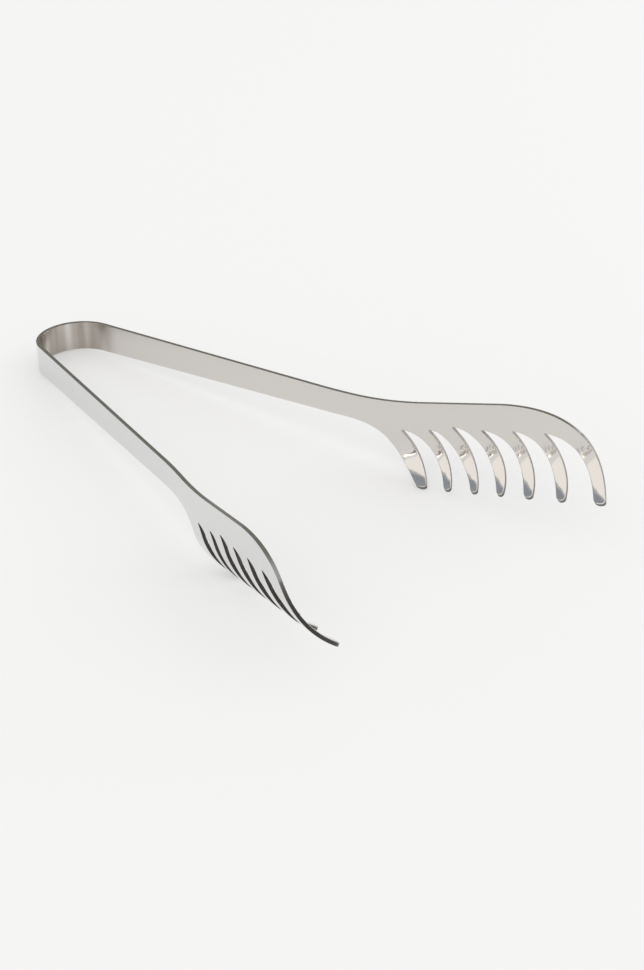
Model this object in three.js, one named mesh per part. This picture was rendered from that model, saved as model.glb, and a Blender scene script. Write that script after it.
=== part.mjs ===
// Spaghetti tongs pressed and bent from one strip of stainless steel: a sprung bow, two straight arms,
// and a comb of curled tines at the end of each arm. Millimetres, +Z up, +X from the bow to the tips,
// the left arm on +Y. The tongs stand as on a table, on the back of the bow and on the first tines.
//
// Each arm is drawn as a flat pattern and then bent. On the pattern s runs along the arm from the end of
// the bow and z runs up. On the comb u runs along the spine and v runs down towards the tips of the tines.
import * as THREE from 'three';

// Sheet and the gap that keeps neighbouring stretches of it apart
const SHEET_T = 1.5;
const GAP = 0.3;

// Bow: radius to the middle of the sheet, width, and the angle that the fixed crown takes up
const BOW_R = 15.4;
const BOW_W = 11.2;
const CROWN_ANGLE = THREE.MathUtils.degToRad(52);

// Arms: half the angle between them, length, and width where they meet the combs
const ARM_ANGLE = THREE.MathUtils.degToRad(12.9);
const ARM_L = 104;
const NECK_W = 9.3;

// Outward bend of the neck: its middle along the arm, its length and its angle
const NECK_S = 113;
const NECK_L = 16;
const NECK_BEND = THREE.MathUtils.degToRad(5.4);

// Comb: start of its axis on the arm and rise of that axis
const COMB_S = 131.2;
const COMB_Z = -2.4;
const COMB_RISE = THREE.MathUtils.degToRad(8.95);

// Curl of the tines: how far under the axis it starts and its radius, at the neck and at the last tip
const CURL_DROP_NECK = 8.2;
const CURL_DROP_TIP = 0;
const CURL_R_NECK = 13.9;
const CURL_R_TIP = 23.4;

// Slots between the tines: where each one starts along the comb, how deep its round end lies, its width,
// and how much further down the two sides of its round end start
const SLOT_AT = [4.8, 15.9, 25.6, 37.0, 49.1, 61.3];
const SLOT_TOP = [3.3, 2.6, 0.8, 1.3, 1.0, 1.0];
const SLOT_W = 2.3;
const SLOT_BACK_DROP = 0.77;
const SLOT_FRONT_DROP = 0.58;

// Tines: where each tip lies along the comb, reach of the tips, and the rounding of each tip to its back,
// to its front and downwards
const TIP_AT = [14.9, 25.5, 36.3, 46.9, 58.1, 70.3, 85.3];
const TINE_REACH = 25.9;
const TIP_BACK = [3.3, 2.3, 2.3, 2.4, 2.9, 2.5, 3.4];
const TIP_FRONT = [1.3, 0.7, 0.6, 0.4, 0.6, 1.0, 1.05];
const TIP_ROUND = 1.6;

// Spine: height over the axis at the neck and at the crest, where the crest lies, the pull of the round
// nose, and the shares of the edges on both sides of the spine's bend that its rounding takes up
const SPINE_NECK_H = 7.0;
const SPINE_CREST_H = 8.6;
const SPINE_CREST_AT = 46;
const NOSE_TOP_PULL = 29;
const NOSE_FRONT_PULL = 19;
const NOSE_FRONT_LEAN = 5.7;
const SPINE_BEND_IN_SHARE = 0.5;
const SPINE_BEND_OUT_SHARE = 0.3;

// Flare from the lower edge of the neck into the first tine
const FLARE_AT = -1.6;
const FLARE_DROP = 7.5;
const FLARE_HOLLOW = 0.3;

// Back edges of the other tines: the dip at which they leave the slots and how far they run on that way,
// and the lean at which they come to the tips and how far they keep it
const BACK_DIP = THREE.MathUtils.degToRad(14);
const BACK_RUN = [8.5, 4.9, 9.2, 11.6, 11.1, 13.1];
const BACK_LEAN = THREE.MathUtils.degToRad(21);
const BACK_PULL = 5.7;

// Front edges: the share of their depth at which they turn, and how far behind the tips they do so
const FRONT_TURN_SHARE = 0.43;
const FRONT_TURN_BEHIND = [3.5, 2.5, 2.7, 0.6, 0.9, 0.3];

// Share of the nose that belongs to the plate, before the last tine starts
const NOSE_ROOT_SHARE = 0.42;

// Steps of the bent shapes
const BOW_STEPS = 8;
const ARM_STEPS = 4;
const FLARE_STEPS = 6;
const ROOT_STEPS = 3;
const TINE_STEPS = 8;
const TIP_STEPS = 3;
const TIP_END = THREE.MathUtils.degToRad(72);
const PLATE_ACROSS = 4;
const TINE_ACROSS = 2;

const { clamp, lerp } = THREE.MathUtils;
const LAST = SLOT_AT.length;
const BOW_HALF = BOW_R * (Math.PI / 2 - ARM_ANGLE);
const CROWN_END = BOW_R * CROWN_ANGLE / 2 - BOW_HALF;
const CROWN_START = -BOW_R * CROWN_ANGLE / 2 - BOW_HALF;
const SHOULDER_V = TINE_REACH - TIP_ROUND;

const flat = (a, b) => new THREE.Vector2(a, b);

// From the comb's own pattern (u, v) to the arm's pattern (s, z)
function combToArm(point) {
  const cos = Math.cos(COMB_RISE);
  const sin = Math.sin(COMB_RISE);
  return flat(COMB_S + point.x * cos + point.y * sin, COMB_Z + point.x * sin - point.y * cos);
}

// From the arm's pattern (s, z) to the comb's own pattern (u, v)
function armToComb(point) {
  const cos = Math.cos(COMB_RISE);
  const sin = Math.sin(COMB_RISE);
  const s = point.x - COMB_S;
  const z = point.y - COMB_Z;
  return flat(s * cos + z * sin, s * sin - z * cos);
}

// Bends a point of the pattern into place, h outside the middle of the sheet; side is 1 left and -1 right
function bend(point, h, side) {
  if (point.x < 0) {
    const turn = Math.PI / 2 + ARM_ANGLE - point.x / BOW_R;
    const radius = BOW_R + h;
    return new THREE.Vector3(radius * Math.cos(turn), side * radius * Math.sin(turn), point.y);
  }
  // Curl of the tines, round an axis along the comb
  const comb = armToComb(point);
  const reach = comb.x / TIP_AT[LAST];
  const curlDrop = lerp(CURL_DROP_NECK, CURL_DROP_TIP, reach);
  const curlR = lerp(CURL_R_NECK, CURL_R_TIP, reach);
  const curl = Math.max(comb.y - curlDrop, 0) / curlR;
  const down = Math.min(comb.y, curlDrop) + (curlR + h) * Math.sin(curl);
  const out = (curlR + h) * Math.cos(curl) - curlR;
  const curled = combToArm(flat(comb.x, down));
  // Bend of the neck, round an upright axis
  const neckStart = NECK_S - NECK_L / 2;
  const inBend = clamp(curled.x - neckStart, 0, NECK_L);
  const past = Math.max(curled.x - neckStart - NECK_L, 0);
  const before = Math.min(curled.x, neckStart);
  const angle = NECK_BEND * inBend / NECK_L;
  const neckR = NECK_L / NECK_BEND;
  const along = before + neckR * Math.sin(angle) + past * Math.cos(angle) - out * Math.sin(angle);
  const aside = BOW_R + neckR * (1 - Math.cos(angle)) + past * Math.sin(angle) + out * Math.cos(angle);
  const x = along * Math.cos(ARM_ANGLE) - aside * Math.sin(ARM_ANGLE);
  const y = along * Math.sin(ARM_ANGLE) + aside * Math.cos(ARM_ANGLE);
  return new THREE.Vector3(x, side * y, curled.y);
}

// A stretch of sheet from rows of two edge points each, bent into place
function sheet(rows, across, side) {
  const geometry = new THREE.BoxGeometry(1, 1, SHEET_T, across, rows.length - 1, 1);
  const position = geometry.attributes.position;
  for (let i = 0; i < position.count; i++) {
    const row = rows[Math.round((0.5 - position.getY(i)) * (rows.length - 1))];
    const point = row[0].clone().lerp(row[1], position.getX(i) + 0.5);
    const bent = bend(point, side * position.getZ(i), side);
    position.setXYZ(i, bent.x, bent.y, bent.z);
  }
  geometry.computeVertexNormals();
  return geometry;
}

const steps = (count, make) => Array.from({ length: count + 1 }, (_, i) => make(i / count));

const halfWidth = (s) => lerp(BOW_W, NECK_W, Math.max(s, 0) / ARM_L) / 2;

// Rows of the plain strip from s = from to s = to, upper edge first
function stripRows(from, to, count) {
  return steps(count, (t) => {
    const s = lerp(from, to, t);
    return [flat(s, halfWidth(s)), flat(s, -halfWidth(s))];
  });
}

// Start of the comb on the upper and the lower edge of the arm
const combStart = ARM_L + GAP;
const neckUpper = armToComb(flat(combStart, NECK_W / 2));
const neckLower = armToComb(flat(combStart, -NECK_W / 2));

// Upper edge of the spine: out of the arm, along the back, over the nose and down the last tine's front
const armSlope = Math.tan(COMB_RISE);
const spineBendAt = neckUpper.x + (-SPINE_NECK_H - neckUpper.y) / armSlope;
const spineBend = flat(spineBendAt, -SPINE_NECK_H);
const crest = flat(SPINE_CREST_AT, -SPINE_CREST_H);
const lastFront = flat(TIP_AT[LAST] + TIP_FRONT[LAST], SHOULDER_V);
const bendIn = neckUpper.clone().lerp(spineBend, SPINE_BEND_IN_SHARE);
const bendOut = spineBend.clone().lerp(crest, SPINE_BEND_OUT_SHARE);
const nose = new THREE.CubicBezierCurve(
  crest,
  flat(crest.x + NOSE_TOP_PULL, crest.y),
  flat(lastFront.x - NOSE_FRONT_LEAN, lastFront.y - NOSE_FRONT_PULL),
  lastFront,
);
function noseStretch(from, to) {
  const points = steps(TINE_STEPS, (t) => nose.getPoint(lerp(from, to, t)));
  return new THREE.SplineCurve(points);
}
const noseFront = noseStretch(NOSE_ROOT_SHARE, 1);
const spineEdge = new THREE.CurvePath();
spineEdge.add(new THREE.LineCurve(neckUpper, bendIn));
spineEdge.add(new THREE.QuadraticBezierCurve(bendIn, spineBend, bendOut));
spineEdge.add(new THREE.LineCurve(bendOut, crest));
spineEdge.add(noseStretch(0, NOSE_ROOT_SHARE));

// Lower edge of the neck, flaring into the back of the first tine
const flareEnd = flat(FLARE_AT, FLARE_DROP);
const flareStart = armToComb(flat(NECK_S, -NECK_W / 2));
const flareLine = flat(TIP_AT[0] - TIP_BACK[0], SHOULDER_V).sub(flareEnd).normalize();
const flareCornerDrop = flareEnd.y - flareStart.y - (flareEnd.x - flareStart.x) * armSlope;
const flareReach = flareCornerDrop / (flareLine.y - flareLine.x * armSlope);
const flareCorner = flareEnd.clone().addScaledVector(flareLine, -flareReach);
const flare = new THREE.QuadraticBezierCurve(flareStart, flareCorner, flareEnd);

// Upper ends of the two edges of a slot, and its round end
const slotBack = (k) => flat(SLOT_AT[k], SLOT_TOP[k] + SLOT_BACK_DROP);
const slotEnd = (k) => flat(SLOT_AT[k] + SLOT_W / 2, SLOT_TOP[k]);
const slotFront = (k) => flat(SLOT_AT[k] + SLOT_W, SLOT_TOP[k] + SLOT_FRONT_DROP);

// Back edge of tine k, from its root to its shoulder: the first one carries on the flare
function backEdge(k) {
  const end = flat(TIP_AT[k] - TIP_BACK[k], SHOULDER_V);
  if (k === 0) {
    const middle = flareEnd.clone().lerp(end, 0.5);
    const hollow = flat(-flareLine.y, flareLine.x).multiplyScalar(FLARE_HOLLOW);
    return new THREE.QuadraticBezierCurve(flareEnd, middle.add(hollow), end);
  }
  const root = slotFront(k - 1);
  const away = flat(Math.cos(BACK_DIP), Math.sin(BACK_DIP)).multiplyScalar(BACK_RUN[k - 1]);
  const back = flat(-Math.sin(BACK_LEAN), -Math.cos(BACK_LEAN)).multiplyScalar(BACK_PULL);
  return new THREE.CubicBezierCurve(root, away.add(root), back.add(end), end);
}

// Front edge of tine k: the last one is the lower part of the nose
function frontEdge(k) {
  if (k === LAST) {
    return noseFront;
  }
  const root = slotBack(k);
  const end = flat(TIP_AT[k] + TIP_FRONT[k], SHOULDER_V);
  const turn = flat(TIP_AT[k] - FRONT_TURN_BEHIND[k], lerp(root.y, end.y, FRONT_TURN_SHARE));
  return new THREE.QuadraticBezierCurve(root, turn, end);
}

// Rows of tine k, front edge first, from its root to its rounded tip
function tineRows(k) {
  const back = backEdge(k);
  const front = frontEdge(k);
  const blade = steps(TINE_STEPS, (t) => [front.getPoint(t), back.getPoint(t)]);
  for (const point of blade[0]) {
    point.y += GAP;
  }
  const tip = steps(TIP_STEPS, (t) => {
    const v = SHOULDER_V + TIP_ROUND * Math.sin(t * TIP_END);
    const narrow = Math.cos(t * TIP_END);
    return [flat(TIP_AT[k] + TIP_FRONT[k] * narrow, v), flat(TIP_AT[k] - TIP_BACK[k] * narrow, v)];
  });
  return [...blade, ...tip.slice(1)];
}

// Rows of the comb's plate, spine edge first, from the neck to the root of the last tine
function plateRows() {
  const lower = [neckLower, ...steps(FLARE_STEPS, (t) => flare.getPoint(t))];
  for (let k = 0; k < LAST; k++) {
    const root = steps(ROOT_STEPS, (t) => backEdge(k).getPoint(0).lerp(slotBack(k), t));
    lower.push(...root.slice(1), slotEnd(k), slotFront(k));
  }
  const length = slotFront(LAST - 1).x - neckLower.x;
  return lower.map((point) => [spineEdge.getPoint((point.x - neckLower.x) / length), point]);
}

const combSheet = (rows, across, side) => sheet(rows.map((row) => row.map(combToArm)), across, side);

const tongs = new THREE.Group();

function addPiece(name, geometry) {
  const steel = new THREE.MeshStandardMaterial({ color: 0xd3d3d2, roughness: 0.22, metalness: 1 });
  const piece = new THREE.Mesh(geometry, steel);
  piece.name = name;
  tongs.add(piece);
}

addPiece('bow_crown', sheet(stripRows(CROWN_START + GAP / 2, CROWN_END - GAP / 2, BOW_STEPS), 1, 1));
for (const [name, side] of [['left', 1], ['right', -1]]) {
  addPiece(`${name}_bow_side`, sheet(stripRows(CROWN_END + GAP / 2, -GAP / 2, BOW_STEPS), 1, side));
  addPiece(`${name}_arm`, sheet(stripRows(GAP / 2, ARM_L, ARM_STEPS), 1, side));
  addPiece(`${name}_comb_plate`, combSheet(plateRows(), PLATE_ACROSS, side));
  for (let k = 0; k <= LAST; k++) {
    addPiece(`${name}_tine_${k + 1}`, combSheet(tineRows(k), TINE_ACROSS, side));
  }
}

// Pitch at which the back of the bow and the tips of the first tines stand on one level
const bowFoot = new THREE.Vector3(-BOW_R - SHEET_T / 2, 0, -BOW_W / 2);
const tineFoot = bend(combToArm(flat(TIP_AT[0], TINE_REACH)), SHEET_T / 2, 1);
tongs.rotation.y = -Math.atan2(bowFoot.z - tineFoot.z, tineFoot.x - bowFoot.x);

// Origin under the middle of the whole, on the table
tongs.updateMatrixWorld(true);
const box = new THREE.Box3().setFromObject(tongs, true);
tongs.position.set(-(box.min.x + box.max.x) / 2, 0, -box.min.z);

const model = new THREE.Group();
model.add(tongs);

export default model;
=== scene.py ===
"""Spaghetti tongs of polished stainless steel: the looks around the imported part."""

import math

import bpy
import numpy as np
from bpy.props import FloatProperty, FloatVectorProperty, IntProperty, PointerProperty
from bpy.types import Operator, Panel, PropertyGroup
from mathutils import Euler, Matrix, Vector
from mathutils.geometry import delaunay_2d_cdt


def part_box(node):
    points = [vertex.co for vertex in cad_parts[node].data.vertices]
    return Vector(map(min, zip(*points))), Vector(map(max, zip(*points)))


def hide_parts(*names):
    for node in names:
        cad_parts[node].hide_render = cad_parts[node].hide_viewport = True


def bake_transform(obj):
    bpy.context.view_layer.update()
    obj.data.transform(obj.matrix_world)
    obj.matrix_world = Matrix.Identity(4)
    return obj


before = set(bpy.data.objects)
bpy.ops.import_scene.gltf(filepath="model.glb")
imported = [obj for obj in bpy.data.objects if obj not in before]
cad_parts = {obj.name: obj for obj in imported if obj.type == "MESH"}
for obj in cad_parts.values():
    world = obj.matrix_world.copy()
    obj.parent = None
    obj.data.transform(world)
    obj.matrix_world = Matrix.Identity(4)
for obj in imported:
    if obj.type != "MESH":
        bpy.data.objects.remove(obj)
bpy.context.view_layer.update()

bl_info = {
    "name": "Spaghetti Tongs",
    "version": (1, 0, 0),
    "blender": (4, 5, 0),
    "location": "View3D > Sidebar > Tongs",
    "description": "Builds spring tongs with two combs, bent from one strip of steel",
    "category": "Add Mesh",
}

MM = 0.001
TO_MM = 1 / MM
SIDES = {"left": 1, "right": -1}
LAST_TINE = 6
TINES = range(LAST_TINE + 1)

# Points along each curve of the comb's pattern, before its edge is spaced evenly
BEND_POINTS = 40
NOSE_POINTS = 120
ROUND_POINTS = 24
TINE_POINTS = 60

# Points on the faces: rows as shares of the strip's width, and spacings as shares of the face step
BOW_ROWS = (-0.36, 0, 0.36)
ARM_ROWS = (-0.3, 0, 0.3)
ARM_SPACING = 4
COMB_SPACING = (1.5, 0.75)

# Points on a comb start behind its axis, end past the last tip, and take over from the arm's past its end
COMB_BEHIND = 22 * MM
COMB_PAST = 4 * MM
COMB_AFTER = 6 * MM

# Share of the comb step that points on a face keep from its edge
EDGE_CLEARANCE = 0.6

# Kinds of facets: on the faces and their roundings, on the torn wall, and across a piece's end
FACE, WALL, END = range(3)


def linear(hex_colour):
    """Linear RGBA of an sRGB hex colour."""
    channels = [int(hex_colour[i : i + 2], 16) / 255 for i in (1, 3, 5)]
    return [c / 12.92 if c <= 0.04045 else ((c + 0.055) / 1.055) ** 2.4 for c in channels] + [1.0]


def length(label, note, size):
    """A length that a user may change, from millimetres."""
    return FloatProperty(name=label, description=note, default=size * MM, unit="LENGTH", precision=5)


def lengths(label, note, *values):
    """A row of lengths that a user may change, from millimetres."""
    return FloatVectorProperty(
        name=label, description=note, default=[v * MM for v in values], size=len(values),
        unit="LENGTH", precision=5)


def angle(label, note, size):
    """An angle that a user may change, from degrees."""
    return FloatProperty(name=label, description=note, default=math.radians(size), subtype="ANGLE")


def share(label, note, size):
    """A share from 0 to 1 that a user may change."""
    return FloatProperty(name=label, description=note, default=size, min=0, max=1, subtype="FACTOR")


def colour(label, note, hex_colour):
    """A colour that a user may change, from an sRGB hex value."""
    return FloatVectorProperty(
        name=label, description=note, default=linear(hex_colour), size=4, subtype="COLOR")


class TongsSizes(PropertyGroup):
    """Sizes of the strip, of its bends and of its combs."""

    sheet: length("Sheet", "Thickness of the steel", 1.5)
    outer_roll: lengths("Outer edge", "Width and depth of the outer face's rounding", 0.08, 0.08)
    inner_roll: lengths("Inner edge", "Width and depth of the arms' inner rounding", 0.12, 0.1)
    tine_roll: lengths("Tine edge", "Width and depth of the tines' inner rounding", 0.3, 0.15)
    tine_crown: length("Tine crown", "How far the tines' inner faces fall away at their edges", 0.08)
    crown_reach: length("Crown reach", "How far in from its edges a tine's inner face is crowned", 2.2)
    bow_radius: length("Bow radius", "Radius of the bow to the middle of the sheet", 15.4)
    bow_width: length("Bow width", "Width of the strip at the bow", 11.2)
    crown_angle: angle("Crown angle", "Part of the bow that stays still", 52)
    arm_angle: angle("Arm angle", "Half the angle between the arms", 12.9)
    arm_length: length("Arm length", "Straight length of an arm", 104)
    neck_width: length("Neck width", "Width of the strip where the comb starts", 9.3)
    neck_at: length("Neck place", "Middle of the neck's bend along the arm", 113)
    neck_length: length("Neck length", "Length of the neck's bend", 16)
    neck_bend: angle("Neck bend", "Outward bend of the neck", 5.4)
    comb_at: length("Comb place", "Start of the comb's axis along the arm", 131.2)
    comb_drop: length("Comb drop", "Depth of the comb's axis under the arm's middle", 2.4)
    comb_rise: angle("Comb rise", "Rise of the comb's axis", 8.95)
    curl_drop: lengths("Curl start", "Depth where the curl starts, at the neck and at the last tip", 8.2, 0)
    curl_radius: lengths("Curl radius", "Radius of the curl, at the neck and at the last tip", 13.9, 23.4)
    slot_at: lengths("Slots", "Place of each slot along the comb", 4.8, 15.9, 25.6, 37.0, 49.1, 61.3)
    slot_top: lengths("Slot tops", "Depth of each slot's round end", 3.3, 2.6, 0.8, 1.3, 1.0, 1.0)
    slot_width: length("Slot width", "Width of a slot just under its round end", 2.3)
    slot_drop: lengths("Slot drop", "Depth of the round end at its back and at its front", 0.77, 0.58)
    slot_round: length("Slot rounding", "Pull of the curve that rounds a slot's end", 1.3)
    tip_at: lengths("Tips", "Place of each tip along the comb", 14.9, 25.5, 36.3, 46.9, 58.1, 70.3, 85.3)
    tine_reach: length("Tine reach", "Length of the tines under the axis", 25.9)
    tip_back: lengths("Tip backs", "Rounding of each tip to its back", 3.3, 2.3, 2.3, 2.4, 2.9, 2.5, 3.4)
    tip_front: lengths(
        "Tip fronts", "Rounding of each tip to its front", 1.3, 0.7, 0.6, 0.4, 0.6, 1.0, 1.05)
    tip_round: length("Tip rounding", "Height of a tip's round end", 1.6)
    back_dip: angle("Back dip", "Dip at which a tine's back edge leaves its slot", 14)
    back_run: lengths(
        "Back runs", "How far each back edge keeps to that dip", 8.5, 4.9, 9.2, 11.6, 11.1, 13.1)
    back_lean: angle("Back lean", "Lean at which a tine's back edge comes to its tip", 21)
    back_pull: length("Back pull", "How far a back edge keeps to that lean", 5.7)
    front_turn: share("Front turn", "Share of its depth at which a front edge turns", 0.43)
    front_behind: lengths(
        "Front turns", "How far behind the tip each front edge turns", 3.5, 2.5, 2.7, 0.6, 0.9, 0.3)
    spine_neck: length("Spine at neck", "Height of the spine over the axis at the neck", 7.0)
    spine_crest: length("Spine at crest", "Height of the spine over the axis at its crest", 8.6)
    spine_in: share("Spine bend in", "Share of the neck's edge in the spine's bend", 0.5)
    spine_out: share("Spine bend out", "Share of the back's edge in the spine's bend", 0.3)
    crest_at: length("Crest", "Place of the crest along the comb", 46)
    nose_top: length("Nose top", "Pull of the nose along the spine", 29)
    nose_front: length("Nose front", "Pull of the nose up from the last tip", 19)
    nose_lean: length("Nose lean", "Backward lean of the nose over the last tip", 5.7)
    flare_at: length("Flare place", "Place of the flare's end along the comb", -1.6)
    flare_drop: length("Flare drop", "Depth of the flare's end under the axis", 7.5)
    flare_hollow: length("Flare hollow", "Hollow of the first tine's back edge", 0.3)
    bow_step: length("Bow step", "Spacing of the points round the bow", 0.4)
    comb_step: length("Comb step", "Spacing of the points on the edges of a comb", 0.45)
    face_step: length("Face step", "Spacing of the points on the faces of a comb", 1.1)
    edge_steps: IntProperty(name="Edge steps", description="Facets of a rounded edge", default=3, min=1)


class TongsFinish(PropertyGroup):
    """Colours and gloss of the steel."""

    face: colour("Face", "Polished outer face of the steel", "#DFDFDF")
    # Painted reflection: the inner face is coloured warmer and darker than the outer face
    inner_face: colour("Inner face", "Polished inner face of the steel", "#DAD6D1")
    # Painted shade and reflection: inside the bow the colour goes browner and darker in upright streaks
    painted_bow_shade: colour("Formed steel", "Inside of the bow, pressed round a former", "#B0A89F")
    face_rough: share("Face roughness", "Roughness of the polished face", 0.08)
    formed_rough: share("Formed roughness", "Roughness of the inside of the bow", 0.26)
    # The torn edge's grey is partly its own dull steel and partly painted dark reflection
    edge: colour("Edge", "Torn edge of the strip", "#A3A29F")
    # Painted shade: the walls of the slots and tines are coloured darker still
    painted_slot_shade: colour("Slot edge", "Torn edge of the slots and tines", "#7C7874")
    edge_rough: share("Edge roughness", "Roughness of the torn edge", 0.32)


class TongsStage(PropertyGroup):
    """Floor, light and camera."""

    floor: colour("Floor", "Pale floor and background", "#F5F5F5")
    floor_glow: share("Floor glow", "Share of the floor's colour that no shadow takes away", 0.35)
    studio_light: share("Studio light", "Strength of the even light from all round", 0.93)
    camera_at: FloatVectorProperty(
        name="Camera", description="Place of the camera", size=3, subtype="XYZ", unit="LENGTH", precision=5,
        default=[v * MM for v in (478.42, -428.76, 409.67)])
    camera_turn: FloatVectorProperty(
        name="Camera turn", description="Turn of the camera", size=3, subtype="EULER",
        default=[math.radians(a) for a in (57.2286, -2.4817, 47.2394)])
    lens: FloatProperty(
        name="Lens", description="Focal length for a 36 mm frame", default=78.53, unit="CAMERA")


def sizes():
    """The sizes that the pieces are made from."""
    return bpy.context.scene.tongs_sizes


def bezier(points, count):
    """Points along a curve of any degree."""
    t = np.linspace(0, 1, count + 1)[:, None]
    level = [np.tile(np.asarray(p, float), (count + 1, 1)) for p in points]
    while len(level) > 1:
        level = [a * (1 - t) + b * t for a, b in zip(level, level[1:])]
    return level[0]


def respaced(points, step):
    """The same line with its points about one step apart."""
    points = np.asarray(points, float)
    run = np.concatenate([[0], np.cumsum(np.linalg.norm(np.diff(points, axis=0), axis=1))])
    count = max(1, round(run[-1] / step))
    at = np.linspace(0, run[-1], count + 1)
    return np.stack([np.interp(at, run, points[:, i]) for i in (0, 1)], axis=1)


def comb_to_arm(points):
    """From the comb's own pattern, along and down, to the strip's pattern, along and up."""
    z = sizes()
    u, v = np.asarray(points, float).T
    cos, sin = math.cos(z.comb_rise), math.sin(z.comb_rise)
    return np.stack([z.comb_at + u * cos + v * sin, -z.comb_drop + u * sin - v * cos], axis=1)


def arm_to_comb(points):
    """From the strip's pattern to the comb's own."""
    z = sizes()
    along, up = (np.asarray(points, float) - (z.comb_at, -z.comb_drop)).T
    cos, sin = math.cos(z.comb_rise), math.sin(z.comb_rise)
    return np.stack([along * cos + up * sin, along * sin - up * cos], axis=1)


def bent(points, height, side):
    """The strip's pattern bent into bow, arm, neck and curl, height above the middle of the sheet."""
    z = sizes()
    s, up = points.T
    turn = math.pi / 2 + z.arm_angle - s / z.bow_radius
    radius = z.bow_radius + height
    bow = np.stack([radius * np.cos(turn), radius * np.sin(turn), up], axis=1)
    u, v = arm_to_comb(points).T
    reach = u / z.tip_at[LAST_TINE]
    drop = z.curl_drop[0] + (z.curl_drop[1] - z.curl_drop[0]) * reach
    curl_radius = z.curl_radius[0] + (z.curl_radius[1] - z.curl_radius[0]) * reach
    curl = np.maximum(v - drop, 0) / curl_radius
    down = np.minimum(v, drop) + (curl_radius + height) * np.sin(curl)
    out = (curl_radius + height) * np.cos(curl) - curl_radius
    along, rise = comb_to_arm(np.stack([u, down], axis=1)).T
    start = z.neck_at - z.neck_length / 2
    neck_radius = z.neck_length / z.neck_bend
    neck = np.clip(along - start, 0, z.neck_length) / neck_radius
    past = np.maximum(along - start - z.neck_length, 0)
    ahead = np.minimum(along, start) + neck_radius * np.sin(neck) + past * np.cos(neck) - out * np.sin(neck)
    aside = z.bow_radius + neck_radius * (1 - np.cos(neck)) + past * np.sin(neck) + out * np.cos(neck)
    cos, sin = math.cos(z.arm_angle), math.sin(z.arm_angle)
    arm = np.stack([ahead * cos - aside * sin, ahead * sin + aside * cos, rise], axis=1)
    shape = np.where((s < 0)[:, None], bow, arm)
    shape[:, 1] *= side
    return shape


def standing(shape):
    """The bent strip tilted to stand on the bow and on the first tines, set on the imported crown."""
    z = sizes()
    half = z.sheet / 2
    bow_end = -z.bow_radius * (math.pi / 2 - z.arm_angle)
    foot = bent(np.array([[bow_end, -z.bow_width / 2]]), half, 1)[0]
    tine = bent(comb_to_arm([[z.tip_at[0], z.tine_reach]]), half, 1)[0]
    pitch = math.atan2(foot[2] - tine[2], tine[0] - foot[0])
    cos, sin = math.cos(pitch), math.sin(pitch)
    tilt = np.array([[cos, 0, -sin], [0, 1, 0], [sin, 0, cos]])
    top = bent(np.array([[bow_end, z.bow_width / 2]]), half, 1)[0]
    low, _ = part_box("bow_crown")
    shift = np.array([low.x - (tilt @ top)[0], 0, low.z - (tilt @ foot)[2]])
    return shape @ tilt.T + shift


def placed(points, height, side):
    """Points of the strip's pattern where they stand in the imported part's frame."""
    return standing(bent(points, height, side))


def half_width(s):
    """Half the width of the plain strip at places along it, tapered along the arm."""
    z = sizes()
    return (z.bow_width + (z.neck_width - z.bow_width) * np.clip(s / z.arm_length, 0, 1)) / 2


def strip_edge(start, end, sign):
    """One edge of the plain strip, fine round the bow and coarse along the arm."""
    z = sizes()
    stops = sorted({start, min(max(0.0, start), end), end})
    s = [start]
    for a, b in zip(stops, stops[1:]):
        step = z.bow_step if b <= 0 else ARM_SPACING * z.face_step
        s.extend(np.linspace(a, b, max(1, round((b - a) / step)) + 1)[1:])
    s = np.array(s)
    return np.stack([s, sign * half_width(s)], axis=1)


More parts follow.
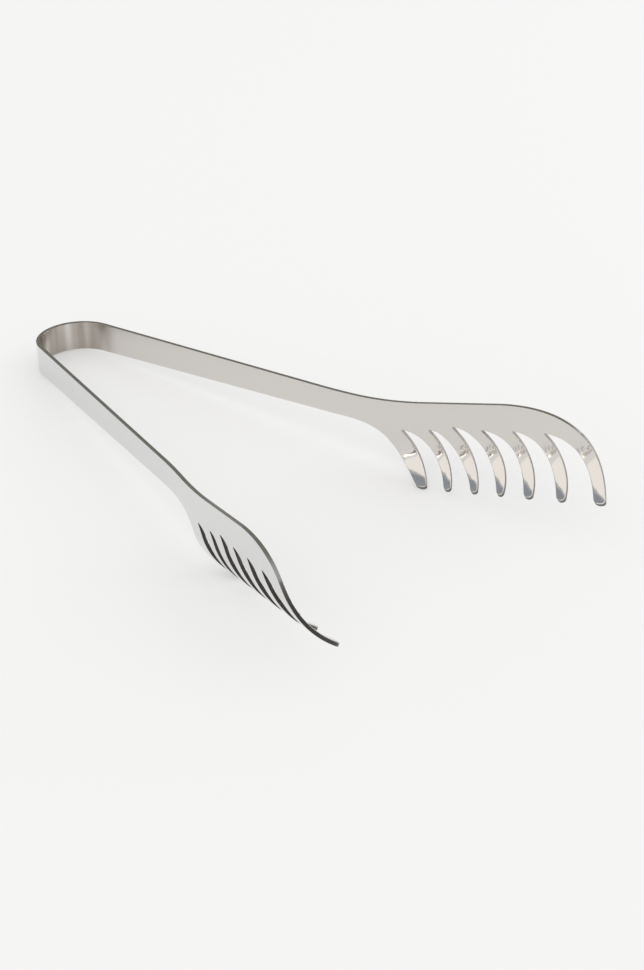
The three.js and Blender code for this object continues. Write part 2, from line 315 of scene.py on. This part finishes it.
def comb_edge():
    """Edge of the comb in its own pattern: from the top of the neck over the nose, round the tines and
    slots from the last to the first, and along the flare to the bottom of the neck."""
    z = sizes()
    shoulder = z.tine_reach - z.tip_round
    slope = math.tan(z.comb_rise)
    neck_top, flare_start = arm_to_comb([[z.arm_length, z.neck_width / 2], [z.neck_at, -z.neck_width / 2]])
    bend = np.array([neck_top[0] + (-z.spine_neck - neck_top[1]) / slope, -z.spine_neck])
    crest = np.array([z.crest_at, -z.spine_crest])
    front = np.array([z.tip_at[LAST_TINE] + z.tip_front[LAST_TINE], shoulder])
    bend_in = neck_top + (bend - neck_top) * z.spine_in
    bend_out = bend + (crest - bend) * z.spine_out
    nose = [crest, crest + (z.nose_top, 0), front - (z.nose_lean, z.nose_front), front]
    line = [[neck_top], bezier([bend_in, bend, bend_out], BEND_POINTS), bezier(nose, NOSE_POINTS)]
    flare_end = np.array([z.flare_at, z.flare_drop])
    dip = np.array([math.cos(z.back_dip), math.sin(z.back_dip)])
    lean = np.array([math.sin(z.back_lean), math.cos(z.back_lean)])
    for k in reversed(TINES):
        tip_front = np.array([z.tip_at[k] + z.tip_front[k], shoulder])
        tip_back = np.array([z.tip_at[k] - z.tip_back[k], shoulder])
        if k == 0:
            flare = (tip_back - flare_end) / np.linalg.norm(tip_back - flare_end)
            hollow = (flare_end + tip_back) / 2 + np.array([-flare[1], flare[0]]) * z.flare_hollow
            back = [flare_end, hollow, tip_back]
        else:
            root = np.array([z.slot_at[k - 1] + z.slot_width, z.slot_top[k - 1] + z.slot_drop[1]])
            back = [root, root + dip * z.back_run[k - 1], tip_back - lean * z.back_pull, tip_back]
        turn = nose[2]
        if k < LAST_TINE:
            slot_back = np.array([z.slot_at[k], z.slot_top[k] + z.slot_drop[0]])
            depth = slot_back[1] + z.front_turn * (shoulder - slot_back[1])
            turn = np.array([z.tip_at[k] - z.front_behind[k], depth])
            up = (slot_back - turn) / np.linalg.norm(slot_back - turn) * z.slot_round
            slot_end = [slot_front, slot_front - dip * z.slot_round, slot_back + up, slot_back]
            line.append(bezier(slot_end, ROUND_POINTS))
            line.append(bezier([slot_back, turn, tip_front], TINE_POINTS))
        # A cubic curve goes about three quarters of its pull, so this gives the tip its height
        pull = z.tip_round * 4 / 3
        ahead = (tip_front - turn) / np.linalg.norm(tip_front - turn) * pull
        behind = (tip_back - back[-2]) / np.linalg.norm(tip_back - back[-2]) * pull
        line.append(bezier([tip_front, tip_front + ahead, tip_back + behind, tip_back], ROUND_POINTS))
        line.append(bezier(back[::-1], TINE_POINTS))
        slot_front = back[0]
    drop = flare_end[1] - flare_start[1] - (flare_end[0] - flare_start[0]) * slope
    corner = flare_end - flare * drop / (flare[1] - flare[0] * slope)
    line.append(bezier([flare_end, corner, flare_start], BEND_POINTS))
    return np.concatenate([np.asarray(stretch, float) for stretch in line])


def inside(points, ring):
    """Which points lie inside a closed line."""
    x, y = points[:, :1], points[:, 1:]
    ax, ay = ring.T
    bx, by = np.roll(ring, -1, axis=0).T
    crosses = (ay > y) != (by > y)
    at = ax + (y - ay) * (bx - ax) / np.where(by == ay, 1, by - ay)
    return (crosses & (x < at)).sum(axis=1) % 2 == 1


def outward(line):
    """Unit normals of an open line that runs with the sheet on its right."""
    along = np.gradient(line, axis=0)
    normal = np.stack([-along[:, 1], along[:, 0]], axis=1)
    normal /= np.linalg.norm(normal, axis=1)[:, None]
    for end in (0, -1):
        normal[end] = (0, math.copysign(1, normal[end, 1]))
    return normal


def triangulated(name, ring, grid):
    """Triangles of a face from the closed line round it and the points on it, numbered in that order."""
    face = np.concatenate([ring, grid])
    loop = [(i, (i + 1) % len(ring)) for i in range(len(ring))]
    # The whole hull is filled, and the triangles outside the line are dropped at the end
    whole_hull, tolerance = 0, 1e-7
    points, _, triangles, origin, _, _ = delaunay_2d_cdt(
        [tuple(p * TO_MM) for p in face], loop, [], whole_hull, tolerance, True)
    if len(points) != len(face):
        raise RuntimeError(f"{name}: the pattern's edge crosses itself")
    source = np.array([ids[0] for ids in origin])
    triangles = source[np.array(triangles)]
    return triangles[inside(face[triangles].mean(axis=1), ring)].tolist()


def edge_rows(inner, inner_deep, crown, lean):
    """Rows of points down an edge, from the outer face's rounding over the torn wall to the inner face's:
    how far in from the edge, height in the sheet, and turn of the normal away from the outer face."""
    z = sizes()
    half = z.sheet / 2
    outer, outer_deep = z.outer_roll
    arc = np.linspace(0, math.pi / 2, z.edge_steps + 1)
    rows = []
    for a in arc:
        inset = np.full(len(inner), outer * (1 - math.sin(a)))
        level = half - outer_deep * (1 - math.cos(a))
        rows.append((inset, level, math.atan2(outer_deep * math.sin(a), outer * math.cos(a))))
    for a in arc[::-1]:
        level = inner_deep * (1 - math.cos(a)) + crown - half
        turned = np.arctan2(inner_deep * math.sin(a), inner * math.cos(a))
        rows.append((inner * (1 - math.sin(a)), level, math.pi - np.maximum(turned, lean)))
    return rows


def shading_normals(pattern, tilt, edge_out, side):
    """Normals of the bent sheet: each tilted from the outer face towards an edge of the pattern."""
    nudge, shortest = 1e-6, 1e-9
    ahead, above = np.array([nudge, 0]), np.array([0, nudge])
    middle = np.zeros(len(pattern))
    along = (placed(pattern + ahead, middle, side) - placed(pattern - ahead, middle, side)) / nudge
    upward = (placed(pattern + above, middle, side) - placed(pattern - above, middle, side)) / nudge
    flat = np.cross(upward, along) * side
    flat /= np.linalg.norm(flat, axis=1)[:, None]
    off = along * edge_out[:, :1] + upward * edge_out[:, 1:]
    off /= np.maximum(np.linalg.norm(off, axis=1), shortest)[:, None]
    return flat * np.cos(tilt)[:, None] + off * np.sin(tilt)[:, None]


def steel_piece(name, places, faces, kinds, shading, strip_mm, side):
    """A piece of the strip as an object, with its normals, its place on the strip and its two finishes."""
    mesh = bpy.data.meshes.new(name)
    mesh.from_pydata(places.tolist(), [], faces)
    if side < 0:
        mesh.flip_normals()
    mesh.polygons.foreach_set("use_smooth", [True] * len(faces))
    mesh.polygons.foreach_set("material_index", [int(kind == WALL) for kind in kinds])
    strip = mesh.attributes.new("strip_mm", "FLOAT_VECTOR", "POINT")
    strip.data.foreach_set("vector", strip_mm.astype(np.float32).ravel())
    corner = np.zeros((len(mesh.loops), 3))
    for polygon, kind in zip(mesh.polygons, kinds):
        for i in polygon.loop_indices:
            corner[i] = polygon.normal if kind == END else shading[mesh.loops[i].vertex_index]
    mesh.normals_split_custom_set(corner.tolist())
    piece = bpy.data.objects.new(name, mesh)
    bpy.context.scene.collection.objects.link(piece)
    mesh.materials.append(polished_stainless())
    mesh.materials.append(blanked_stainless())
    return piece


def strip_piece(name, lines, grid, side):
    """A closed piece of the strip between its cut edges. Lines are open edges in order round the pattern,
    with a flat end from each one to the next; grid holds points on the face."""
    z = sizes()
    half = z.sheet / 2
    rim = np.concatenate(lines)
    count = len(rim)
    normal = np.concatenate([outward(line) for line in lines])
    deep = np.clip(arm_to_comb(rim)[:, 1] / z.flare_drop, 0, 1)
    inner, inner_deep = [plain + (tine - plain) * deep for plain, tine in zip(z.inner_roll, z.tine_roll)]
    ring = rim - normal * inner[:, None]
    grid = grid[inside(grid, ring)]
    away = np.array([np.hypot(*(ring - p).T) for p in grid])
    clear = away.min(axis=1) > EDGE_CLEARANCE * z.comb_step
    grid, away = grid[clear], away[clear]
    triangles = triangulated(name, ring, grid)
    inner_face = np.concatenate([ring, grid])
    outer_face = np.concatenate([rim - normal * z.outer_roll[0], grid])
    size = len(inner_face)

    # The inner face is crowned on the tines: it falls away, and leans, towards the nearest edge
    nearest = np.concatenate([np.arange(count), away.argmin(axis=1)])
    gap = np.concatenate([np.zeros(count), away.min(axis=1)])
    near = np.maximum(1 - gap / z.crown_reach, 0)
    crown = z.tine_crown * deep[nearest] * near**2
    lean = 2 * z.tine_crown * deep[nearest] * near / z.crown_reach

    rows = edge_rows(inner, inner_deep, crown[:count], lean[:count])
    pattern = [outer_face, inner_face]
    height = [np.full(size, half), crown - half]
    tilt = [np.zeros(size), math.pi - lean]
    edge_out = [normal[nearest]] * 2
    for inset, level, turned in rows[1:-1]:
        pattern.append(rim - normal * inset[:, None])
        height.append(np.broadcast_to(level, count))
        tilt.append(np.broadcast_to(turned, count))
        edge_out.append(normal)
    pattern, height = np.concatenate(pattern), np.concatenate(height)
    shading = shading_normals(pattern, np.concatenate(tilt), np.concatenate(edge_out), side)

    row_start = [0] + [2 * size + i * count for i in range(len(rows) - 2)] + [size]
    faces = [t[::-1] for t in triangles] + [[i + size for i in t] for t in triangles]
    kinds = [FACE] * len(faces)
    line_ends = set(np.cumsum([len(line) for line in lines]) - 1)
    for i in range(count):
        j = (i + 1) % count
        if i in line_ends:
            faces.append([row + i for row in row_start] + [row + j for row in reversed(row_start)])
            kinds.append(END)
            continue
        for r, (a, b) in enumerate(zip(row_start, row_start[1:])):
            faces.append([a + i, b + i, b + j, a + j])
            kinds.append(WALL if r == z.edge_steps else FACE)
    strip_mm = np.column_stack([pattern, height]) * TO_MM
    return steel_piece(name, placed(pattern, height, side), faces, kinds, shading, strip_mm, side)


def add_node(tree, kind, links=None, **settings):
    """A node with its settings; links gives for each input either a value or a socket."""
    node = tree.nodes.new(kind)
    for key, value in settings.items():
        setattr(node, key, value)
    for key, value in (links or {}).items():
        if isinstance(value, bpy.types.NodeSocket):
            tree.links.new(value, node.inputs[key])
        else:
            node.inputs[key].default_value = value
    return node


def new_material(name):
    """An empty material and its node tree."""
    made = bpy.data.materials.new(name)
    made.use_nodes = True
    made.node_tree.nodes.clear()
    return made, made.node_tree


def per_mm(*marks):
    """Texture scales for marks of these sizes in millimetres, and 0 for a mark that runs right through."""
    return [1 / size if size else 0 for size in marks]


# Marks on the polished faces in mm, along the strip, across it and through the sheet. Real buffing lines
# are a few hundredths wide, too fine to show, so they are drawn 0.4 mm wide.
BUFFING = (16.667, 0.4, 0.4)
# Painted shade and reflection: sizes of the upright streaks in the colour inside the bow
PAINTED_STREAKS = (6.25, 50, 0)
HAZE = 14
ROLLING_WAVE = 9
WAVE_HEIGHT = 0.02 * MM
BUFFING_HEIGHT = 0.002 * MM

# The values of the noise over which the buffing and the painted streaks inside the bow show, and what
# buffing does to the roughness
BUFFING_RANGE = (0.6, 1.4)
PAINTED_STREAKS_RANGE = (0.7, 0.43)
BUFFING_SHARES = (0.75, 1.3)

# In mm: heights in the sheet between which the inner face's painted warmer colour starts, and places along
# the strip between which the bow's painted streaks and shade, and its haze, start
INNER_START = (0.5, -0.5)
BOW_START = (7.0, -1.0)


def polished_stainless():
    """Polished stainless steel, cold rolled and buffed along the strip."""
    # To the eye: a clear pale mirror that wavers a little over each arm, its gloss drawn out into fine
    # lines along the strip, with a warmer inner face that is painted reflection, and inside the bow a
    # hazier steel whose browner, darker colour with upright streaks is painted shade and reflection
    name = "polished_stainless_steel"
    if name in bpy.data.materials:
        return bpy.data.materials[name]
    made, tree = new_material(name)
    finish = bpy.context.scene.tongs_finish
    strip = add_node(tree, "ShaderNodeAttribute", attribute_name="strip_mm").outputs["Vector"]
    along, _, height = add_node(tree, "ShaderNodeSeparateXYZ", {"Vector": strip}).outputs

    lines = add_node(tree, "ShaderNodeMapping", {"Vector": strip, "Scale": per_mm(*BUFFING)})
    buffed = add_node(tree, "ShaderNodeTexNoise", {
        "Vector": lines.outputs["Vector"], "Scale": 1.0, "Detail": 3.0}).outputs["Fac"]
    haze = add_node(tree, "ShaderNodeTexNoise", {"Vector": strip, "Scale": 1 / HAZE, "Detail": 2.0})
    worn = add_node(tree, "ShaderNodeMath", {0: buffed, 1: haze.outputs["Fac"]}, operation="ADD")
    gloss = add_node(tree, "ShaderNodeMapRange", {
        "Value": worn.outputs["Value"], "From Min": BUFFING_RANGE[0], "From Max": BUFFING_RANGE[1],
        "To Min": finish.face_rough * BUFFING_SHARES[0], "To Max": finish.face_rough * BUFFING_SHARES[1]})

    inner = add_node(tree, "ShaderNodeMapRange", {
        "Value": height, "From Min": INNER_START[0], "From Max": INNER_START[1]}).outputs["Result"]
    bow = add_node(tree, "ShaderNodeMapRange", {
        "Value": along, "From Min": BOW_START[0], "From Max": BOW_START[1]}).outputs["Result"]
    # Painted shade and reflection inside the bow: upright streaks that turn its colour browner and darker
    across = add_node(tree, "ShaderNodeMapping", {"Vector": strip, "Scale": per_mm(*PAINTED_STREAKS)})
    streak_noise = add_node(tree, "ShaderNodeTexNoise", {
        "Vector": across.outputs["Vector"], "Scale": 1.0, "Detail": 1.0})
    painted_streaks = add_node(tree, "ShaderNodeMapRange", {
        "Value": streak_noise.outputs["Fac"], "From Min": PAINTED_STREAKS_RANGE[0], "From Max": PAINTED_STREAKS_RANGE[1]})
    painted_shade_mask = add_node(tree, "ShaderNodeMath", {0: painted_streaks.outputs["Result"], 1: bow}, operation="MULTIPLY")
    dull = add_node(tree, "ShaderNodeMath", {0: inner, 1: bow}, operation="MULTIPLY")
    rough = add_node(tree, "ShaderNodeMix", {
        0: dull.outputs["Value"], 2: gloss.outputs["Result"], 3: finish.formed_rough})
    painted_bow_shade = add_node(tree, "ShaderNodeMix", {
        0: painted_shade_mask.outputs["Value"], 6: finish.inner_face, 7: finish.painted_bow_shade}, data_type="RGBA")
    tint = add_node(tree, "ShaderNodeMix", {
        0: inner, 6: finish.face, 7: painted_bow_shade.outputs[2]}, data_type="RGBA")

    wave = add_node(tree, "ShaderNodeTexNoise", {"Vector": strip, "Scale": 1 / ROLLING_WAVE, "Detail": 1.0})
    rolled = add_node(tree, "ShaderNodeBump", {
        "Height": wave.outputs["Fac"], "Strength": 1.0, "Distance": WAVE_HEIGHT})
    grain = add_node(tree, "ShaderNodeBump", {
        "Height": buffed, "Strength": 0.5, "Distance": BUFFING_HEIGHT, "Normal": rolled.outputs["Normal"]})
    steel = add_node(tree, "ShaderNodeBsdfPrincipled", {
        "Base Color": tint.outputs[2], "Metallic": 1.0, "Roughness": rough.outputs[0],
        "Normal": grain.outputs["Normal"]})
    add_node(tree, "ShaderNodeOutputMaterial", {"Surface": steel.outputs["BSDF"]})
    return made


# Shear marks on the torn wall in mm, along the strip, across it and through the sheet, with the values of
# the noise over which they show and what they do to the roughness
SHEAR = (0.5, 0.5, 3.333)
SHEAR_HEIGHT = 0.01 * MM
SHEAR_RANGE = (0.3, 0.7)
SHEAR_SHARES = (0.8, 1.2)

# Depth in mm under the comb's axis over which the outline's wall turns into the slots' wall, painted darker
# as shade
SLOT_START = 1.0


def blanked_stainless():
    """Torn wall of the stainless sheet, blanked, and tumbled after it."""
    # To the eye: a narrow satin line round the strip, greyer than the faces, partly as painted dark
    # reflection, with fine marks straight through the sheet, and painted darker in the slots and between
    # the tines as shade
    name = "blanked_stainless_edge"
    if name in bpy.data.materials:
        return bpy.data.materials[name]
    made, tree = new_material(name)
    z = sizes()
    finish = bpy.context.scene.tongs_finish
    strip = add_node(tree, "ShaderNodeAttribute", attribute_name="strip_mm").outputs["Vector"]

    across = add_node(tree, "ShaderNodeMapping", {"Vector": strip, "Scale": per_mm(*SHEAR)})
    shear = add_node(tree, "ShaderNodeTexNoise", {
        "Vector": across.outputs["Vector"], "Scale": 1.0, "Detail": 3.0}).outputs["Fac"]
    rough = add_node(tree, "ShaderNodeMapRange", {
        "Value": shear, "From Min": SHEAR_RANGE[0], "From Max": SHEAR_RANGE[1],
        "To Min": finish.edge_rough * SHEAR_SHARES[0], "To Max": finish.edge_rough * SHEAR_SHARES[1]})
    marks = add_node(tree, "ShaderNodeBump", {"Height": shear, "Strength": 0.5, "Distance": SHEAR_HEIGHT})

    down = (math.sin(z.comb_rise), -math.cos(z.comb_rise), 0)
    axis = (z.comb_at * down[0] - z.comb_drop * down[1]) * TO_MM
    depth = add_node(tree, "ShaderNodeVectorMath", {0: strip, 1: down}, operation="DOT_PRODUCT")
    # Painted shade: the wall turns to the darker colour in the slots and between the tines
    slot_shade_mask = add_node(tree, "ShaderNodeMapRange", {
        "Value": depth.outputs["Value"], "From Min": axis, "From Max": axis + SLOT_START})
    tint = add_node(tree, "ShaderNodeMix", {
        0: slot_shade_mask.outputs["Result"], 6: finish.edge, 7: finish.painted_slot_shade}, data_type="RGBA")
    steel = add_node(tree, "ShaderNodeBsdfPrincipled", {
        "Base Color": tint.outputs[2], "Metallic": 1.0, "Roughness": rough.outputs["Result"],
        "Normal": marks.outputs["Normal"]})
    add_node(tree, "ShaderNodeOutputMaterial", {"Surface": steel.outputs["BSDF"]})
    return made


def bow_places():
    """Along the strip: middle of the bow, end of the crown, and the cut halfway from there to the arm."""
    z = sizes()
    middle = -z.bow_radius * (math.pi / 2 - z.arm_angle)
    crown_end = middle + z.bow_radius * z.crown_angle / 2
    return middle, crown_end, crown_end / 2


class TONGS_OT_bow(Operator):
    """Makes the two halves of the sprung bow."""

    bl_idname = "tongs.bow"
    bl_label = "Bow"

    def execute(self, context):
        z = sizes()
        middle, crown_end, cut = bow_places()
        upper, lower = strip_edge(middle, cut, 1), strip_edge(middle, cut, -1)
        grid = np.array([(s, row * z.bow_width) for s in upper[1:-1, 0] for row in BOW_ROWS])
        for name, side in SIDES.items():
            piece = strip_piece(f"{name}_bow_half", [upper, lower[::-1]], grid, side)
            reach = cut - crown_end
            start, end = placed(np.array([[crown_end - reach, 0], [crown_end + reach, 0]]), 0, side)
            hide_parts("bow_crown", f"{name}_bow_side")
            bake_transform(piece)
        return {"FINISHED"}


class TONGS_OT_arms(Operator):
    """Makes the two arms, each with its comb."""

    bl_idname = "tongs.arms"
    bl_label = "Arms and combs"

    def execute(self, context):
        z = sizes()
        _, _, cut = bow_places()
        comb = comb_to_arm(respaced(comb_edge(), z.comb_step))
        upper, lower = strip_edge(cut, z.arm_length, 1), strip_edge(cut, z.neck_at, -1)
        line = np.concatenate([upper[:-1], comb, lower[::-1][1:]])
        arm_s = np.concatenate([upper[1:, 0], [z.arm_length + ARM_SPACING * z.face_step]])
        arm_grid = [(s, row * z.neck_width) for s in arm_s for row in ARM_ROWS]
        along, across = COMB_SPACING
        u = np.arange(-COMB_BEHIND, z.tip_at[LAST_TINE] + COMB_PAST, along * z.face_step)
        v = np.arange(-z.spine_crest, z.tine_reach, across * z.face_step)
        comb_grid = comb_to_arm([(a, b) for a in u for b in v])
        grid = np.concatenate([arm_grid, comb_grid[comb_grid[:, 0] > z.arm_length + COMB_AFTER]])
        for name, side in SIDES.items():
            piece = strip_piece(f"{name}_arm_and_comb", [line], grid, side)
            start, end = placed(np.array([[cut, 0], [-cut, 0]]), 0, side)
            tines = [f"{name}_tine_{k + 1}" for k in TINES]
            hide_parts(f"{name}_arm", f"{name}_comb_plate", *tines)
            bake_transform(piece)
        return {"FINISHED"}


# Felt flags round the tongs, seen only in the polished steel, as its darker parts: place, facing, size in
# metres, and shade
FLAGS = (
    ("left_flag", (-2.164, -1.585, 1.38), (0.889, -0.457, 0), (3.56, 2.76), "#A3ABB5"),
    ("back_flag", (-0.774, 1.117, 1.38), (0.889, -0.457, 0), (2.52, 2.76), "#A4A39B"),
    ("front_flag", (1.192, 0.17, 0.72), (-1.12, -0.16, -0.82), (2.6, 1.75), "#7C7C7C"),
)

# Softboxes, turned to the middle of the floor: place and size in metres, watts and colour
LAMPS = (
    ("left_softbox", (-0.277, -1.097, 1.32), (2.0, 2.4), 3.4, "#FFF4E2"),
    ("back_softbox", (0.292, 1.019, 0.3), (0.46, 0.58), 1.35, "#FFFFFF"),
)

# Side of the floor in metres, width of the camera's frame in mm, and nearest distance that it sees
FLOOR_SIDE = 8
CAMERA_FRAME = 36
CAMERA_NEAR = 10 * MM


def seen_or_mirrored(tree):
    """1 for what the camera sees, straight or in metal and glass, and 0 for light that falls on things."""
    path = add_node(tree, "ShaderNodeLightPath").outputs
    seen = add_node(tree, "ShaderNodeMath", {
        0: path["Is Camera Ray"], 1: path["Is Glossy Ray"]}, operation="ADD")
    return add_node(tree, "ShaderNodeMath", {
        0: seen.outputs[0], 1: path["Is Transmission Ray"]}, operation="ADD", use_clamp=True).outputs[0]


def add_sheet(name, at, facing, size, finish, shade, glow=0):
    """A flat sheet of the stage, paper or felt, with its middle at a place and its face turned one way."""
    # To the eye: an even tone with no gloss; glow is the share of it that shows even in a shadow
    mesh = bpy.data.meshes.new(name)
    x, y = size[0] / 2, size[1] / 2
    mesh.from_pydata([(-x, -y, 0), (x, -y, 0), (x, y, 0), (-x, y, 0)], [], [(0, 1, 2, 3)])
    made, tree = new_material(finish)
    surface = add_node(tree, "ShaderNodeBsdfDiffuse", {"Color": shade}).outputs[0]
    if glow:
        pale = add_node(tree, "ShaderNodeEmission", {"Color": shade, "Strength": 1.0}).outputs[0]
        part = add_node(tree, "ShaderNodeMath", {0: seen_or_mirrored(tree), 1: glow}, operation="MULTIPLY")
        surface = add_node(tree, "ShaderNodeMixShader", {
            0: part.outputs[0], 1: surface, 2: pale}).outputs[0]
    add_node(tree, "ShaderNodeOutputMaterial", {"Surface": surface})
    mesh.materials.append(made)
    piece = bpy.data.objects.new(name, mesh)
    piece.location = at
    piece.rotation_euler = Vector(facing).to_track_quat("Z", "Y").to_euler()
    bpy.context.scene.collection.objects.link(piece)
    return piece


class TONGS_OT_stage(Operator):
    """Makes the floor, the light and the camera."""

    bl_idname = "tongs.stage"
    bl_label = "Stage"

    def execute(self, context):
        stage = context.scene.tongs_stage
        scene = context.scene
        scene.view_settings.view_transform = "Standard"

        side = (FLOOR_SIDE, FLOOR_SIDE)
        add_sheet("floor", (0, 0, 0), (0, 0, 1), side, "matt_paper_sweep", stage.floor, stage.floor_glow)
        for name, at, facing, size, shade in FLAGS:
            flag = add_sheet(name, at, facing, size, f"{name}_felt", linear(shade))
            flag.visible_camera = flag.visible_shadow = flag.visible_diffuse = False

        world = bpy.data.worlds.new("studio")
        world.use_nodes = True
        tree = world.node_tree
        tree.nodes.clear()
        light = add_node(tree, "ShaderNodeBackground", {
            "Color": (1, 1, 1, 1), "Strength": stage.studio_light})
        pale = add_node(tree, "ShaderNodeBackground", {"Color": stage.floor, "Strength": 1.0})
        mix = add_node(tree, "ShaderNodeMixShader", {
            0: seen_or_mirrored(tree), 1: light.outputs[0], 2: pale.outputs[0]})
        add_node(tree, "ShaderNodeOutputWorld", {"Surface": mix.outputs[0]})
        scene.world = world

        for name, at, size, energy, shade in LAMPS:
            lamp = bpy.data.lights.new(name, "AREA")
            lamp.shape = "RECTANGLE"
            lamp.size, lamp.size_y = size
            lamp.energy = energy
            lamp.color = linear(shade)[:3]
            softbox = bpy.data.objects.new(name, lamp)
            softbox.location = at
            softbox.rotation_euler = (-Vector(at)).to_track_quat("-Z", "Y").to_euler()
            scene.collection.objects.link(softbox)

        view = bpy.data.cameras.new("camera")
        view.lens = stage.lens
        view.sensor_width = CAMERA_FRAME
        view.clip_start = CAMERA_NEAR
        camera = bpy.data.objects.new("camera", view)
        camera.location = stage.camera_at
        camera.rotation_euler = Euler(stage.camera_turn)
        scene.collection.objects.link(camera)
        scene.camera = camera
        return {"FINISHED"}


class TONGS_PT_sidebar(Panel):
    """Lists the pieces and their sizes in the sidebar."""

    bl_idname = "TONGS_PT_sidebar"
    bl_label = "Spaghetti Tongs"
    bl_space_type = "VIEW_3D"
    bl_region_type = "UI"
    bl_category = "Tongs"

    def draw(self, context):
        for operator in OPERATORS:
            self.layout.operator(operator.bl_idname)
        for group in (context.scene.tongs_sizes, context.scene.tongs_finish, context.scene.tongs_stage):
            column = self.layout.column()
            for key in group.__annotations__:
                column.prop(group, key)


OPERATORS = (TONGS_OT_stage, TONGS_OT_bow, TONGS_OT_arms)
CLASSES = (TongsSizes, TongsFinish, TongsStage, *OPERATORS, TONGS_PT_sidebar)


def register():
    """Adds the operators, the panel and the settings to Blender."""
    for kind in CLASSES:
        bpy.utils.register_class(kind)
    bpy.types.Scene.tongs_sizes = PointerProperty(type=TongsSizes)
    bpy.types.Scene.tongs_finish = PointerProperty(type=TongsFinish)
    bpy.types.Scene.tongs_stage = PointerProperty(type=TongsStage)


def unregister():
    """Takes them out again."""
    del bpy.types.Scene.tongs_stage
    del bpy.types.Scene.tongs_finish
    del bpy.types.Scene.tongs_sizes
    for kind in reversed(CLASSES):
        bpy.utils.unregister_class(kind)


def main():
    register()
    bpy.ops.tongs.stage()
    bpy.ops.tongs.bow()
    bpy.ops.tongs.arms()


if __name__ == "__main__":
    main()
